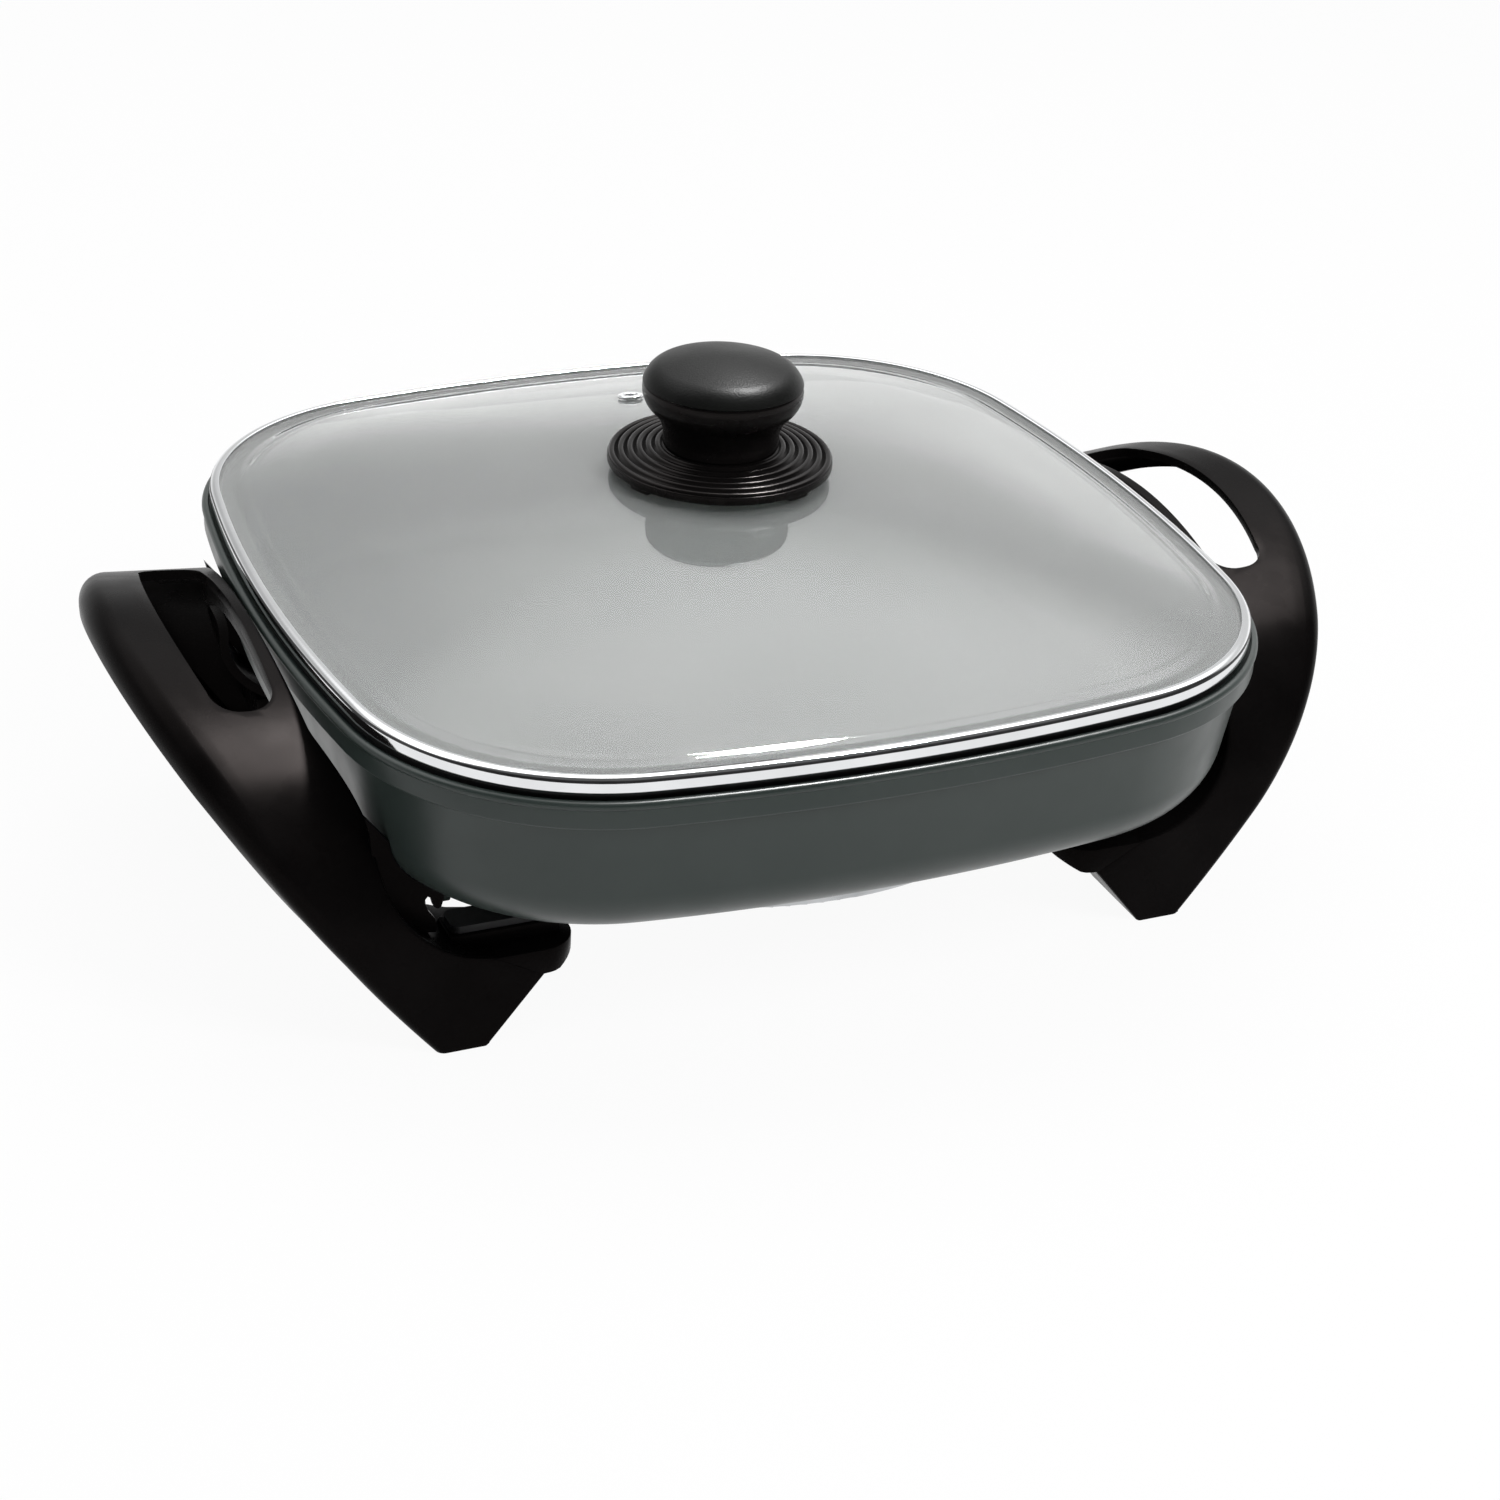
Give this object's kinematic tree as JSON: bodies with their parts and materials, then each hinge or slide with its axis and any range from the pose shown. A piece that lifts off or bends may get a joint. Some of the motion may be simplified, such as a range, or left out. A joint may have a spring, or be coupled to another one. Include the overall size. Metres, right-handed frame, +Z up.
{
  "type": "electric skillet",
  "caption": "Square electric skillet with a cast pan, arched handle-legs, a probe inlet under one handle and a lift-off domed glass lid with a knob.",
  "frame": {"origin": "centre of the footprint, on the table under the feet", "axes": "+X towards the handle over the probe inlet, -Y towards the front, +Z up along the lid knob"},
  "size_m": [0.421, 0.3196, 0.177],
  "materials": {
    "coated_aluminium": "satin non-stick coating",
    "bare_aluminium": "as cast",
    "phenolic": "satin moulding",
    "stainless": "polished",
    "steel": "plated",
    "brass": "turned",
    "ceramic": "glazed",
    "silicone": "matt",
    "glass": "clear tempered"
  },
  "bodies": {
    "base": {"pan_body": "coated_aluminium", "heater_ring": "bare_aluminium", "heating_element": "steel", "terminal_pins": "steel", "terminal_insulators": "ceramic", "thermostat_sleeve": "steel", "probe_guard": "phenolic", "guard_screws": "steel", "handle_right": "phenolic", "handle_left": "phenolic", "plate_front_right": "steel", "plate_back_right": "steel", "plate_front_left": "steel", "plate_back_left": "steel", "leg_screws": "steel", "leg_washers": "steel"},
    "lid": {"lid_glass": "glass", "lid_rim": "stainless", "vent_eyelet": "stainless", "knob_gasket": "silicone", "knob_skirt": "phenolic", "knob_grip": "phenolic", "knob_cap": "phenolic", "knob_insert": "brass", "knob_washer": "stainless", "knob_screw": "stainless"}
  },
  "joints": [
    {"name": "lid_lift", "type": "slide", "parent": "base", "child": "lid", "axis": [0, 0, 1], "range_m": [0, 0.15]}
  ]
}
